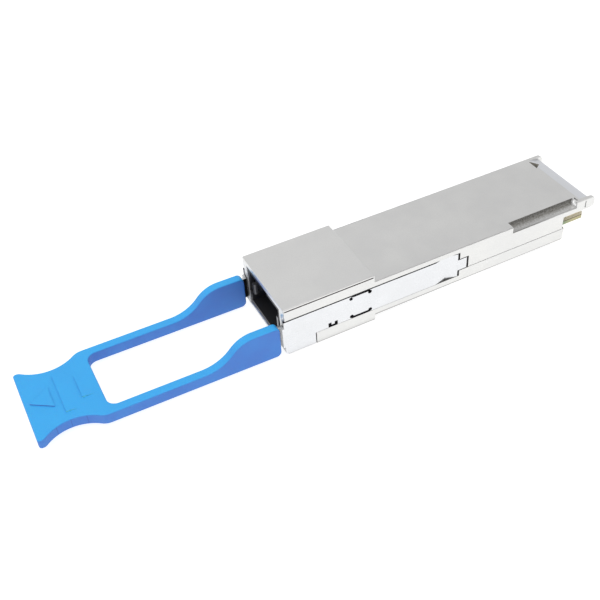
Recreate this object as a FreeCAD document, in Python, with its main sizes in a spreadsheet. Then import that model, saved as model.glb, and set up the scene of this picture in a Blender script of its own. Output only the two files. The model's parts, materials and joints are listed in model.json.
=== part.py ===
import FreeCAD, Part
import Sketcher
import math
import os
import re

# An optical transceiver module of the small quad pluggable kind, with one multi-fibre push-on port.
# Millimetres. +Y runs from the cage stop to the card edge, +Z is up, and X = 0 is the middle.
# The origin is where the nose meets the body that goes into the cage, on the body's underside.

doc = FreeCAD.newDocument("optical_transceiver")

SIZES = [
    ("body_width", 18.35),
    ("body_height", 8.5),
    ("body_length", 53.0),
    ("nose_length", 19.4),
    ("nose_rise", 1.7),
    ("nose_drop", 1.4),
    ("seam_height", 3.0),
    ("nose_plate_thickness", 0.4),
    ("plate_groove_height", 0.26),
    ("plate_groove_depth", 0.4),
    ("plate_groove_margin", 0.25),
    ("seam_groove", 0.13),
    ("roof_thickness", 1.1),
    ("floor_thickness", 1.0),
    ("fit_gap", 0.05),
    # the cavity for the board
    ("front_inner_width", 14.6),
    ("rear_inner_width", 16.6),
    ("board_ledge", 0.6),
    ("rear_roof_width", 13.8),
    ("rear_step_height", 6.3),
    ("wide_start", 24.0),
    # the rear end, with its ears, chamfer and key rabbet
    ("housing_end", 45.6),
    ("housing_end_wall", 0.8),
    ("side_wall_end", 45.1),
    ("roof_end", 51.9),
    ("roof_bevel_length", 2.55),
    ("roof_bevel_drop", 0.6),
    ("ear_low", 5.9),
    ("ear_round", 1.0),
    ("ear_groove_place", 2.6),
    ("ear_groove_width", 0.3),
    ("ear_groove_depth", 0.35),
    ("ear_groove_start", 0.55),
    ("ear_groove_height", 1.6),
    ("key_start", 32.2),
    ("key_end", 48.3),
    ("key_floor", 7.05),
    ("key_width", 1.875),
    ("key_hole_length", 0.35),
    ("key_hole_width", 1.1),
    ("key_hole_inset", 0.15),
    ("key_hole_gap", 0.25),
    ("key_hole_floor", 0.8),
    ("far_pocket_gap", 0.45),
    ("far_pocket_inset", 0.3),
    ("far_pocket_width", 2.9),
    ("far_pocket_point", 1.7),
    ("far_pocket_length", 1.6),
    ("far_pocket_floor", 0.1),
    ("thread_room", 0.4),
    # the port insert
    ("insert_width", 14.3),
    ("insert_low", -0.2),
    ("insert_high", 9.0),
    ("insert_length", 12.95),
    ("mouth_depth", 0.15),
    ("mouth_rim", 0.1),
    ("gasket_thickness", 1.0),
    ("gasket_window_width", 9.0),
    ("gasket_window_height", 4.0),
    ("port_width", 12.8),
    ("port_height", 7.5),
    ("port_depth", 10.75),
    ("port_key_width", 3.0),
    ("port_key_depth", 0.4),
    ("hook_relief", 0.4),
    ("hook_offset", 5.65),
    ("hook_thickness", 0.5),
    ("hook_height", 2.5),
    ("hook_barrel_radius", 0.5),
    ("hook_nub", 0.5),
    ("hook_nub_length", 0.7),
    ("hook_root_depth", 0.4),
    ("hook_setback", 0.25),
    # the ferrule behind the port
    ("ferrule_width", 6.4),
    ("ferrule_height", 2.5),
    ("ferrule_length", 8.0),
    ("ferrule_reach", 3.4),
    ("ferrule_flange", 0.5),
    ("ferrule_flange_length", 1.2),
    ("pin_radius", 0.35),
    ("pin_offset", 2.3),
    ("pin_reach", 2.0),
    ("clip_thickness", 0.6),
    ("clip_width", 8.8),
    ("clip_top", 6.4),
    ("ribbon_width", 3.1),
    ("ribbon_thickness", 0.3),
    ("ribbon_depth", 3.0),
    ("ribbon_gap", 0.02),
    ("clip_gap", 0.4),
    # the sheet slider
    ("sheet_thickness", 0.5),
    ("slider_gap", 0.2),
    ("slider_low_gap", 0.07),
    ("arm_low", 1.52),
    ("arm_high", 7.2),
    ("slider_lead", 0.1),
    ("plate_length", 6.45),
    ("dip_start", 14.0),
    ("dip_middle", 16.4),
    ("dip_end", 19.1),
    ("dip_depth", 0.45),
    ("tongue_length", 2.1),
    ("tongue_low", 3.0),
    ("tongue_high", 5.6),
    ("end_room", 0.45),
    ("latch_travel", 2.5),
    ("lead_corner", 0.8),
    ("flange_start", -5.15),
    ("flange_end", -1.05),
    ("flange_depth", 0.85),
    ("flange_notch", 0.4),
    ("low_notch", 0.5),
    ("flange_sheet", 0.4),
    ("relief_radius", 0.42),
    ("stop_start", -9.6),
    ("stop_end", -8.9),
    ("relief_width", 0.65),
    ("relief_height", 1.05),
    ("pocket_gap", 0.1),
    ("spring_radius", 0.42),
    ("spring_wire", 0.14),
    ("spring_length", 4.6),
    ("spring_drop", 0.8),
    # the pull tab
    ("tab_gap", 0.95),
    ("tab_width", 18.2),
    ("tab_length", 47.2),
    ("tab_thickness", 2.5),
    ("tab_end_rise", 0.35),
    ("tab_arm_width", 1.9),
    ("tab_arm_height", 7.2),
    ("tab_arm_tall", 7.8),
    ("tab_ramp", 4.4),
    ("tab_ramp_round", 6.1),
    ("tab_foot_share", 1.3),
    ("tab_tilt", 0.7),
    ("tab_drop", 1.0),
    ("tab_grip_length", 13.7),
    ("tab_window_round", 1.8),
    ("tab_corner_round", 0.6),
    ("grip_run_out", 1.2),
    ("tab_end_round", 1.1),
    ("grip_radius", 8.0),
    ("grip_depth", 2.2),
    ("grip_blend", 3.0),
    ("grip_flat", 1.15),
    ("mark_rise", 0.22),
    ("arrow_length", 3.9),
    ("arrow_width", 5.2),
    ("arrow_margin", 1.1),
    ("bar_width", 2.4),
    ("long_bar", 9.8),
    ("long_bar_margin", 6.45),
    ("short_bar", 5.8),
    ("short_bar_margin", 10.05),
    ("tang_length", 7.6),
    ("tang_low", 0.8),
    ("tang_high", 5.6),
    ("tang_neck", 0.4),
    ("tang_inset", 0.95),
    # the board and what is on it
    ("board_thickness", 1.0),
    ("board_gap", 2.4),
    ("board_front_width", 14.0),
    ("board_widening", 24.6),
    ("board_step", 1.0),
    ("card_width", 16.42),
    ("card_end", 51.4),
    ("card_corner", 0.5),
    ("pad_count", 19),
    ("pad_pitch", 0.8),
    ("pad_width", 0.54),
    ("pad_length", 3.6),
    ("pad_thickness", 0.04),
    ("pad_inset", 0.5),
    ("screw_offset_x", 5.0),
    ("front_screw_y", 10.8),
    ("rear_screw_y", 38.5),
    ("screw_radius", 0.65),
    ("screw_length", 5.6),
    ("screw_head_radius", 1.2),
    ("screw_head_height", 0.6),
    ("screw_boss_radius", 1.75),
    ("screw_clearance", 0.1),
    ("socket_radius", 0.5),
    ("socket_depth", 0.35),
    ("lens_width", 6.0),
    ("lens_length", 3.6),
    ("lens_height", 2.2),
    ("lens_inset", 0.6),
    ("carrier_width", 5.6),
    ("carrier_length", 2.6),
    ("carrier_height", 0.3),
    ("carrier_gap", 0.1),
    ("array_width", 1.6),
    ("array_length", 0.5),
    ("array_height", 0.25),
    ("array_offset", 1.4),
    ("driver_size", 2.6),
    ("driver_height", 0.6),
    ("driver_gap", 0.4),
    ("driver_room", 0.3),
    ("signal_chip_size", 5.0),
    ("signal_chip_height", 0.9),
    ("signal_chip_y", 17.5),
    ("controller_size", 4.0),
    ("controller_height", 0.8),
    ("controller_y", 27.5),
    ("inductor_size", 2.0),
    ("inductor_height", 1.1),
    ("inductor_offset", 4.4),
    ("inductor_y", 32.5),
    ("capacitor_length", 1.0),
    ("capacitor_width", 0.5),
    ("capacitor_height", 0.5),
    ("capacitor_pitch", 1.7),
    ("capacitor_row_x", 5.6),
    ("capacitor_row_y", 15.2),
    ("capacitor_count", 4),
    ("pad_sheet", 0.6),
    ("label_width", 13.0),
    ("label_start", 14.0),
    ("label_end", 35.0),
    ("label_thickness", 0.08),
    ("label_recess", 0.1),
]

sheet = doc.addObject("Spreadsheet::Sheet", "Sizes")
for row, (alias, value) in enumerate(SIZES, start=1):
    sheet.set(f"A{row}", alias)
    sheet.set(f"B{row}", str(value))
    sheet.setAlias(f"B{row}", alias)
doc.recompute()
ALIASES = {alias for alias, value in SIZES}


def size(alias):
    """The number in a cell of the sheet."""
    return float(sheet.get(alias))


def linked(text):
    """An expression on the sheet, from a formula that names its cells by their aliases."""
    def cell(match):
        word = match.group(0)
        return f"Sizes.{word}" if word in ALIASES else word
    return re.sub(r"[a-z][a-z_]+", cell, str(text))


def less(first, second):
    return f"({first}) - ({second})"


# formulas that several pieces share
HALF = "body_width / 2"
NOSE = "-nose_length"
NOSE_TOP = "body_height + nose_rise"
COVER_TOP = "body_height + nose_rise - nose_plate_thickness"
ROOF = "body_height - roof_thickness"
RECESS = "body_width / 2 - sheet_thickness - fit_gap"
SHEET_IN = "body_width / 2 - sheet_thickness"
SHOULDER = "-nose_length + mouth_depth + insert_length + gasket_thickness + fit_gap"
PORT_MIDDLE = "(insert_low + insert_high) / 2"
PORT_END = "-nose_length + mouth_depth + port_depth"
INSERT_END = "-nose_length + mouth_depth + insert_length"
FERRULE_TIP = f"{PORT_END} - ferrule_reach"
FERRULE_END = f"{FERRULE_TIP} + ferrule_length"
BOARD_TOP = "seam_height + board_thickness"
BOARD_FRONT = f"{FERRULE_END} + board_gap"
LENS_FRONT = f"{BOARD_FRONT} + lens_inset"
SLIDER_FRONT = "-nose_length - slider_lead"
PLATE_END = "-nose_length - slider_lead + plate_length"
RIM = 1.0   # how far a cutting box runs past the face that it opens


def place(thing, x=None, y=None, z=None):
    """Binds a piece's position to the sheet."""
    for axis, formula in zip("xyz", (x, y, z)):
        if formula is not None:
            thing.setExpression(f"Placement.Base.{axis}", linked(formula))
    return thing


def box(name, x, y, z):
    """A block between two formulas along each axis."""
    block = doc.addObject("Part::Box", name)
    for side, (low, high) in zip(("Length", "Width", "Height"), (x, y, z)):
        block.setExpression(side, linked(less(high, low)))
    return place(block, x[0], y[0], z[0])


def sided(side, low, high):
    """The range from low to high out from the middle, on the side +1 or -1."""
    return (low, high) if side > 0 else (f"-({high})", f"-({low})")


def across(width):
    """A range centred on X = 0."""
    return f"-({width}) / 2", f"({width}) / 2"


def cylinder(name, radius, length, x, y, z, direction="z"):
    """A round bar that starts at a point and runs along +Z, +Y or +X."""
    bar = doc.addObject("Part::Cylinder", name)
    bar.setExpression("Radius", linked(radius))
    bar.setExpression("Height", linked(length))
    if direction == "y":
        bar.Placement = FreeCAD.Placement(FreeCAD.Vector(), FreeCAD.Rotation(FreeCAD.Vector(1, 0, 0), -90))
    if direction == "x":
        bar.Placement = FreeCAD.Placement(FreeCAD.Vector(), FreeCAD.Rotation(FreeCAD.Vector(0, 1, 0), 90))
    return place(bar, x, y, z)


def joined(name, pieces):
    """The pieces fused into one."""
    fuse = doc.addObject("Part::MultiFuse", name)
    fuse.Shapes = pieces
    fuse.Refine = True
    return fuse


def trimmed(name, base, tools):
    """The base with every tool cut away."""
    cut = doc.addObject("Part::Cut", name)
    cut.Base = base
    cut.Tool = tools[0] if len(tools) == 1 else joined(f"{name}_tools", tools)
    cut.Refine = True
    return cut


def grouped(name, pieces):
    """Separate solids in one node."""
    group = doc.addObject("Part::Compound", name)
    group.Links = pieces
    return group


def origin_plane(body, role):
    return next(item for item in body.Origin.OriginFeatures if item.Role == role)


def sketch_on(body, role, name, height=None):
    """A sketch on one of the body's own planes, raised along its normal by a formula."""
    sketch = body.newObject("Sketcher::SketchObject", name)
    sketch.AttachmentSupport = [(origin_plane(body, role), "")]
    sketch.MapMode = "FlatFace"
    if height is not None:
        sketch.setExpression("AttachmentOffset.Base.z", linked(height))
    return sketch


def outline(sketch, corners):
    """A closed outline whose corners are each bound to two formulas."""
    first = sketch.GeometryCount
    count = len(corners)
    for number in range(count):
        start = FreeCAD.Vector(number, number * number, 0)
        after = (number + 1) % count
        end = FreeCAD.Vector(after, after * after, 0)
        sketch.addGeometry(Part.LineSegment(start, end), False)
    for number in range(count):
        line = first + number
        following = first + (number + 1) % count
        sketch.addConstraint(Sketcher.Constraint("Coincident", line, 2, following, 1))
    for number, (across_formula, up_formula) in enumerate(corners):
        for kind, formula in (("DistanceX", across_formula), ("DistanceY", up_formula)):
            index = sketch.addConstraint(Sketcher.Constraint(kind, -1, 1, first + number, 1, 1.0))
            sketch.setExpression(f"Constraints[{index}]", linked(formula))
    return sketch


def round_outline(sketch, across_formula, up_formula, radius):
    """A circle whose centre and radius are bound to formulas."""
    circle = sketch.addGeometry(Part.Circle(FreeCAD.Vector(1, 1, 0), FreeCAD.Vector(0, 0, 1), 1), False)
    for kind, formula in (("DistanceX", across_formula), ("DistanceY", up_formula)):
        index = sketch.addConstraint(Sketcher.Constraint(kind, -1, 1, circle, 3, 1.0))
        sketch.setExpression(f"Constraints[{index}]", linked(formula))
    index = sketch.addConstraint(Sketcher.Constraint("Radius", circle, 1.0))
    sketch.setExpression(f"Constraints[{index}]", linked(radius))


def padded(body, sketch, name, length, both_ways=False):
    pad = body.newObject("PartDesign::Pad", name)
    pad.Profile = sketch
    pad.setExpression("Length", linked(length))
    pad.Midplane = both_ways
    return pad


def pocket_through(body, sketch, name):
    """A pocket that goes right through the body, up from its sketch."""
    doc.recompute()
    before = body.Shape.Volume
    pocket = body.newObject("PartDesign::Pocket", name)
    pocket.Profile = sketch
    pocket.Type = 1
    pocket.Reversed = True
    doc.recompute()
    if not body.Shape.Volume < before - 1e-6:
        raise RuntimeError(f"{name} cuts nothing")
    return pocket


def prism(name, role, corners, low, high):
    """A body with an outline on an origin plane, from low to high along the plane's normal."""
    body = doc.addObject("PartDesign::Body", name)
    sketch = outline(sketch_on(body, role, f"{name}_outline"), corners)
    padded(body, sketch, f"{name}_pad", less(high, low))
    axis = {"YZ_Plane": "x", "XY_Plane": "z"}[role]
    body.setExpression(f"Placement.Base.{axis}", linked(low))
    return body


def edges_where(shape, direction, test):
    """Names of the straight edges along a direction whose start passes a test."""
    names = []
    for number, edge in enumerate(shape.Edges, start=1):
        if len(edge.Vertexes) != 2:
            continue
        start, end = (corner.Point for corner in edge.Vertexes)
        length = (end - start).Length
        if abs(abs((end - start).dot(direction)) - length) < 1e-4 and test(start):
            names.append(f"Edge{number}")
    return names


def near(first, second, slack=1e-4):
    return abs(first - second) < slack


def rounded(body, name, radius, direction, test):
    """A fillet on the body's edges that run along a direction and pass a test."""
    doc.recompute()
    base = body.Tip
    fillet = body.newObject("PartDesign::Fillet", name)
    fillet.Base = (base, edges_where(base.Shape, direction, test))
    fillet.setExpression("Radius", linked(radius))
    doc.recompute()
    return fillet


# ---- the sheet slider, and the room that the housings leave for it ----

def slider_room(side, name):
    """The recess in one side of the housings, a gap larger than the slider's arm all round."""
    out = f"{HALF} + {RIM}"
    x = sided(side, RECESS, out)
    dip_x = sided(side, f"{RECESS} - dip_depth - fit_gap", out)
    front = f"{NOSE} - {RIM}"
    return [
        box(f"{name}_arm_room", x, (front, "dip_end + end_room"),
            ("arm_low - slider_low_gap", "arm_high + slider_gap")),
        box(f"{name}_plate_room", x, (front, f"{PLATE_END} + slider_gap"),
            (f"-nose_drop - {RIM}", "arm_high + slider_gap")),
        box(f"{name}_tongue_room", x, ("dip_end", "dip_end + tongue_length + end_room"),
            ("tongue_low - slider_gap", "tongue_high + slider_gap")),
        box(f"{name}_dip_room", dip_x, ("dip_start - latch_travel - pocket_gap", "dip_end + end_room"),
            ("arm_low - slider_low_gap", "arm_high + slider_gap")),
    ]


FLANGE_OUT = "body_width / 2 - sheet_thickness - flange_depth"
TOP_FLANGE = ("arm_high - flange_notch - flange_sheet", "arm_high - flange_notch")
LOW_FLANGE = ("arm_low + low_notch", "arm_low + low_notch + flange_sheet")
SPRING_X = "body_width / 2 - sheet_thickness - fit_gap - spring_radius - fit_gap"
SPRING_Z = "arm_high - flange_notch - flange_sheet - spring_drop"
SPRING_REAR = "flange_end - flange_sheet"


def flange_rooms(side, name, heights, start, end):
    """The slot that a bent-in flange of the slider travels in."""
    x = sided(side, less(FLANGE_OUT, "pocket_gap"), f"{HALF} + {RIM}")
    y = (f"{start} - latch_travel - pocket_gap", f"{end} + pocket_gap")
    z = (f"{heights[0]} - pocket_gap", f"{heights[1]} + pocket_gap")
    return box(name, x, y, z)


def spring_room(side, name):
    """The pocket that holds a return spring, its front wall being what the spring pushes on."""
    x = sided(side, less(FLANGE_OUT, "pocket_gap"), f"{HALF} + {RIM}")
    y = (f"{SPRING_REAR} - spring_length", "flange_end + pocket_gap")
    z = (f"{SPRING_Z} - spring_radius - pocket_gap", f"{TOP_FLANGE[0]}")
    return box(name, x, y, z)


def slider_side(side, name):
    """One arm of the slider with its flanges, spring lug, dipped end and tongue."""
    sheet_x = sided(side, SHEET_IN, HALF)
    flange_x = sided(side, FLANGE_OUT, f"{SHEET_IN} + fit_gap")
    blank = joined(f"{name}_blank", [
        box(f"{name}_plate", sheet_x, (SLIDER_FRONT, PLATE_END), ("-nose_drop", "arm_high")),
        box(f"{name}_arm", sheet_x, (SLIDER_FRONT, "dip_start"), ("arm_low", "arm_high")),
    ])
    past = sided(side, f"{SHEET_IN} - {RIM}", f"{HALF} + {RIM}")
    cuts = [
        box(f"{name}_top_notch", past, ("flange_start", "flange_end"),
            ("arm_high - flange_notch", f"arm_high + {RIM}")),
        box(f"{name}_low_notch", past, ("flange_start", "flange_end"),
            (f"arm_low - {RIM}", "arm_low + low_notch")),
        box(f"{name}_stop_notch", past, ("stop_start", "stop_end"),
            (f"arm_low - {RIM}", "arm_low + low_notch")),
    ]
    for label, centre, height in (
        ("top_front", "flange_start", "arm_high - flange_notch - relief_radius / 2"),
        ("top_rear", "flange_end", "arm_high - flange_notch - relief_radius / 2"),
        ("low_front", "flange_start", "arm_low + low_notch"),
        ("low_rear", "flange_end", "arm_low + low_notch"),
    ):
        cuts.append(cylinder(f"{name}_{label}_relief", "relief_radius", less(past[1], past[0]),
                             past[0], centre, height, "x"))
    relief_z = (f"arm_low - {RIM}", "arm_low + relief_height")
    for label, low, high in (
        ("stop_front", "stop_start - relief_width", "stop_start"),
        ("stop_rear", "stop_end", "stop_end + relief_width"),
    ):
        cuts.append(box(f"{name}_{label}_relief", past, (low, high), relief_z))
    corner = [
        (f"{SLIDER_FRONT} - {RIM}", f"-nose_drop - {RIM}"),
        (f"{SLIDER_FRONT} + lead_corner + {RIM}", f"-nose_drop - {RIM}"),
        (f"{SLIDER_FRONT} - {RIM}", f"-nose_drop + lead_corner + {RIM}"),
    ]
    cuts.append(prism(f"{name}_lead_corner", "YZ_Plane", corner, *past))
    arm = trimmed(f"{name}_cut", blank, cuts)
    flange_y = ("flange_start + fit_gap", "flange_end - fit_gap")
    top_flange = box(f"{name}_top_flange", flange_x, flange_y, TOP_FLANGE)
    low_flange = box(f"{name}_low_flange", flange_x, flange_y, LOW_FLANGE)
    stop_flange = box(f"{name}_stop_flange", flange_x, ("stop_start + fit_gap", "stop_end - fit_gap"), LOW_FLANGE)
    lug = box(f"{name}_spring_lug", sided(side, FLANGE_OUT, f"{SHEET_IN} - fit_gap"),
              ("flange_end - fit_gap - flange_sheet", "flange_end - fit_gap"),
              (f"{SPRING_Z} - spring_radius", TOP_FLANGE[1]))
    sign = "" if side > 0 else "-"
    outer = [("dip_start - fit_gap", HALF), ("dip_start", HALF), ("dip_middle", f"{HALF} - dip_depth"),
             ("dip_end", HALF)]
    corners = [(f"{sign}({x})", y) for y, x in outer]
    corners += [(f"{sign}({x} - sheet_thickness)", y) for y, x in reversed(outer)]
    dip = prism(f"{name}_dip", "XY_Plane", corners, "arm_low", "arm_high")
    tongue = box(f"{name}_tongue", sheet_x, ("dip_end - fit_gap", "dip_end + tongue_length"),
                 ("tongue_low", "tongue_high"))
    return [arm, top_flange, low_flange, stop_flange, lug, dip, tongue]


def tang_blocks(side, name, grow="0"):
    """The neck and tang that carry the pull tab's arm."""
    neck = box(f"{name}_neck", sided(side, f"{HALF} - tang_inset - sheet_thickness", HALF),
               (f"{SLIDER_FRONT} - tang_neck", f"{SLIDER_FRONT} + {grow}"), ("tang_low", "tang_high"))
    tang = box(f"{name}_tang", sided(side, f"{HALF} - tang_inset - sheet_thickness", f"{HALF} - tang_inset"),
               (f"{SLIDER_FRONT} - tang_length", f"{SLIDER_FRONT} - tang_neck"), ("tang_low", "tang_high"))
    return [neck, tang]


def make_latch_slider():
    pieces = []
    for side, name in ((1, "slider_right"), (-1, "slider_left")):
        pieces += slider_side(side, name)
        pieces += tang_blocks(side, name)
    pieces.append(box("slider_bridge", across("body_width"),
                      (f"{SLIDER_FRONT} + lead_corner", PLATE_END),
                      ("-nose_drop", "-nose_drop + sheet_thickness")))
    return joined("latch_slider", pieces)


# ---- the two housings ----

def screw_places():
    """Name and middle of each housing screw."""
    found = []
    for row, y in (("front", "front_screw_y"), ("rear", "rear_screw_y")):
        for column, x in (("left", "-screw_offset_x"), ("right", "screw_offset_x")):
            found.append((f"{row}_{column}", x, y))
    return found


def ear(side, name):
    """One of the two tips behind the roof, rounded at its rear in the side view."""
    x = sided(side, "rear_inner_width / 2", HALF)
    front, middle = "roof_end - fit_gap", "body_length - ear_round"
    width = less(HALF, "rear_inner_width / 2")
    pieces = [
        box(f"{name}_root", x, (front, middle), ("ear_low", "body_height")),
        box(f"{name}_tip", x, (front, "body_length"), ("ear_low + ear_round", "body_height - ear_round")),
    ]
    for level, z in (("low", "ear_low + ear_round"), ("high", "body_height - ear_round")):
        pieces.append(cylinder(f"{name}_{level}_corner", "ear_round", width, x[0], middle, z, "x"))
    return pieces


def make_top_cover():
    solid = joined("cover_outside", [
        box("cover_body", across("body_width"), ("-fit_gap", "roof_end"), ("seam_height", "body_height")),
        box("cover_nose", across("body_width"), (NOSE, "0"), ("seam_height", COVER_TOP)),
        *ear(1, "ear_right"),
        *ear(-1, "ear_left"),
    ])
    low = f"seam_height - {RIM}"
    rear = f"body_length + {RIM}"
    bevel = [
        ("roof_end - roof_bevel_length", "body_height"),
        (f"roof_end + {RIM}", f"body_height - roof_bevel_drop * (1 + {RIM} / roof_bevel_length)"),
        (f"roof_end + {RIM}", f"body_height + {RIM}"),
        ("roof_end - roof_bevel_length", f"body_height + {RIM}"),
    ]
    pocket_front = "roof_end - roof_bevel_length - far_pocket_gap"
    pocket_side = "-rear_inner_width / 2 + far_pocket_inset"
    far_pocket = [
        (pocket_side, pocket_front),
        (f"{pocket_side} + far_pocket_width", pocket_front),
        (f"{pocket_side} + far_pocket_point", f"{pocket_front} + far_pocket_length"),
    ]
    hole_side = f"{HALF} - key_width + key_hole_inset"
    cuts = [
        box("cover_rear_gap", across(f"body_width + 2 * {RIM}"), ("side_wall_end", rear), (low, "ear_low")),
        box("cover_front_cavity", across("front_inner_width"), (SHOULDER, "wide_start"), (low, ROOF)),
        box("cover_rear_cavity", across("rear_inner_width"), ("wide_start - fit_gap", rear),
            (low, "rear_step_height")),
        box("cover_rear_upper", across("rear_roof_width"), ("wide_start - fit_gap", rear), (low, ROOF)),
        box("cover_nose_cavity", across("insert_width + 2 * fit_gap"), (f"{NOSE} - {RIM}", SHOULDER),
            (low, "insert_high + fit_gap")),
        box("cover_mouth", across("insert_width + 2 * fit_gap + 2 * mouth_rim"),
            (f"{NOSE} - {RIM}", f"{NOSE} + mouth_depth"), (low, "insert_high + fit_gap + mouth_rim")),
        box("key_rabbet", sided(1, f"{HALF} - key_width", f"{HALF} + {RIM}"), ("key_start", "key_end"),
            ("key_floor", f"body_height + {RIM}")),
        box("key_hole", sided(1, hole_side, f"{hole_side} + key_hole_width"),
            ("key_end + key_hole_gap", "key_end + key_hole_gap + key_hole_length"),
            ("rear_step_height + key_hole_floor", f"body_height + {RIM}")),
        prism("roof_bevel", "YZ_Plane", bevel, "-rear_inner_width / 2", "rear_inner_width / 2"),
        prism("far_pocket", "XY_Plane", far_pocket, f"{ROOF} + far_pocket_floor", f"body_height + {RIM}"),
    ]
    for side, name in ((1, "cover_right"), (-1, "cover_left")):
        out = f"{HALF} + {RIM}"
        cuts.append(box(f"{name}_plate_groove", sided(side, f"{HALF} - plate_groove_depth", out),
                        (f"{NOSE} + plate_groove_margin", "-plate_groove_margin"),
                        (f"{COVER_TOP} - plate_groove_height", f"{COVER_TOP} + {RIM}")))
        cuts.append(box(f"{name}_ear_groove", sided(side, f"{HALF} - ear_groove_depth", out),
                        ("body_length - ear_groove_place", "body_length - ear_groove_place + ear_groove_width"),
                        ("ear_low + ear_groove_start", "ear_low + ear_groove_start + ear_groove_height")))
        cuts += slider_room(side, name)
        cuts.append(flange_rooms(side, f"{name}_flange_room", (TOP_FLANGE[0], "arm_high"), "flange_start", "flange_end"))
        cuts.append(spring_room(side, f"{name}_spring_room"))
    shell = trimmed("cover_shell", solid, cuts)
    inner = [shell]
    for row, x, y in screw_places():
        inner.append(cylinder(f"cover_boss_{row}", "screw_boss_radius",
                              f"{ROOF} + fit_gap - ({BOARD_TOP})", x, y, BOARD_TOP))
    pedestal_z = (f"{BOARD_TOP} + signal_chip_height + pad_sheet", f"{ROOF} + fit_gap")
    inner.append(box("signal_pedestal", across("signal_chip_size"),
                     ("signal_chip_y - signal_chip_size / 2", "signal_chip_y + signal_chip_size / 2"),
                     pedestal_z))
    driver_y = driver_range()
    inner.append(box("driver_pedestal", across("2 * driver_size + driver_gap"), driver_y,
                     (f"{BOARD_TOP} + driver_height + pad_sheet", f"{ROOF} + fit_gap")))
    holes = [
        cylinder(f"cover_thread_{row}", "screw_radius + screw_clearance / 2",
                 f"screw_length - ({BOARD_TOP}) + thread_room + {RIM}", x, y, f"{BOARD_TOP} - {RIM}")
        for row, x, y in screw_places()
    ]
    return trimmed("top_cover", joined("cover_with_bosses", inner), holes)


def make_bottom_housing():
    solid = joined("housing_outside", [
        box("housing_body", across("body_width"), ("-fit_gap", "housing_end"), ("0", "seam_height")),
        box("housing_nose", across("body_width"), (NOSE, "0"), ("-nose_drop", "seam_height")),
    ])
    high = f"seam_height + {RIM}"
    cuts = [
        box("housing_front_cavity", across("front_inner_width - 2 * (board_ledge + pocket_gap)"),
            (SHOULDER, "wide_start"), ("floor_thickness", high)),
        box("housing_rear_cavity", across("rear_inner_width - 2 * (board_ledge + pocket_gap)"),
            ("wide_start - fit_gap", "housing_end - housing_end_wall"), ("floor_thickness", high)),
        box("housing_nose_cavity", across("insert_width + 2 * fit_gap"), (f"{NOSE} - {RIM}", SHOULDER),
            ("insert_low - fit_gap", high)),
        box("housing_mouth", across("insert_width + 2 * fit_gap + 2 * mouth_rim"),
            (f"{NOSE} - {RIM}", f"{NOSE} + mouth_depth"), ("insert_low - fit_gap - mouth_rim", high)),
        box("bridge_room", across(f"body_width + 2 * {RIM}"), (f"{NOSE} - {RIM}", f"{PLATE_END} + slider_gap"),
            (f"-nose_drop - {RIM}", "-nose_drop + sheet_thickness + fit_gap")),
        box("label_room", across("label_width + 2 * pocket_gap"), ("label_start - pocket_gap", "label_end + pocket_gap"),
            (f"-{RIM}", "label_recess")),
    ]
    low_room = ("arm_low + pocket_gap", LOW_FLANGE[1])
    for side, name in ((1, "housing_right"), (-1, "housing_left")):
        cuts.append(box(f"{name}_seam_groove", sided(side, f"{HALF} - seam_groove", f"{HALF} + {RIM}"),
                        (f"{NOSE} - {RIM}", f"housing_end + {RIM}"), ("seam_height - seam_groove", high)))
        cuts += slider_room(side, name)
        cuts.append(flange_rooms(side, f"{name}_flange_room", low_room, "flange_start", "flange_end"))
        cuts.append(flange_rooms(side, f"{name}_stop_room", low_room, "stop_start", "stop_end"))
    tail = [
        (f"housing_end - {RIM}", f"-{RIM}"),
        (f"housing_end + {RIM}", f"-{RIM}"),
        (f"housing_end + {RIM}", f"{RIM}"),
    ]
    cuts.append(prism("housing_tail_bevel", "YZ_Plane", tail, f"-{HALF} - {RIM}", f"{HALF} + {RIM}"))
    shell = trimmed("housing_shell", solid, cuts)
    bosses = [
        cylinder(f"housing_boss_{row}", "screw_boss_radius",
                 "seam_height - floor_thickness + fit_gap", x, y, "floor_thickness - fit_gap")
        for row, x, y in screw_places()
    ]
    holes = []
    for row, x, y in screw_places():
        holes.append(cylinder(f"housing_hole_{row}", "screw_radius + screw_clearance",
                              f"seam_height + 2 * {RIM}", x, y, f"-{RIM}"))
        holes.append(cylinder(f"housing_sink_{row}", "screw_head_radius + screw_clearance",
                              f"screw_head_height + {RIM}", x, y, f"-{RIM}"))
    return trimmed("bottom_housing", joined("housing_with_bosses", [shell, *bosses]), holes)


def make_nose_plate():
    return box("nose_plate", across("body_width"), (NOSE, "0"), (COVER_TOP, NOSE_TOP))


def make_housing_screws():
    screws = []
    for row, x, y in screw_places():
        screw = joined(f"screw_{row}_blank", [
            cylinder(f"screw_{row}_shank", "screw_radius", "screw_length", x, y, "0"),
            cylinder(f"screw_{row}_head", "screw_head_radius", "screw_head_height", x, y, "0"),
        ])
        socket = cylinder(f"screw_{row}_socket", "socket_radius", f"socket_depth + {RIM}", x, y, f"-{RIM}")
        screws.append(trimmed(f"screw_{row}", screw, [socket]))
    return grouped("housing_screws", screws)


def make_blank_label():
    return box("blank_label", across("label_width"), ("label_start", "label_end"),
               ("label_recess - label_thickness", "label_recess"))


# ---- the return springs ----

def make_spring(side, name):
    """The envelope of a fine coil spring, between the slider's lug and the pocket's front wall."""
    x = SPRING_X if side > 0 else f"-({SPRING_X})"
    start = f"{SPRING_REAR} - spring_length"
    length = "spring_length - fit_gap"
    outside = cylinder(f"{name}_outside", "spring_radius", length, x, start, SPRING_Z, "y")
    inside = cylinder(f"{name}_inside", "spring_radius - spring_wire", f"{length} + 2 * {RIM}", x,
                      f"{start} - {RIM}", SPRING_Z, "y")
    return trimmed(name, outside, [inside])


# ---- the port ----

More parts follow.
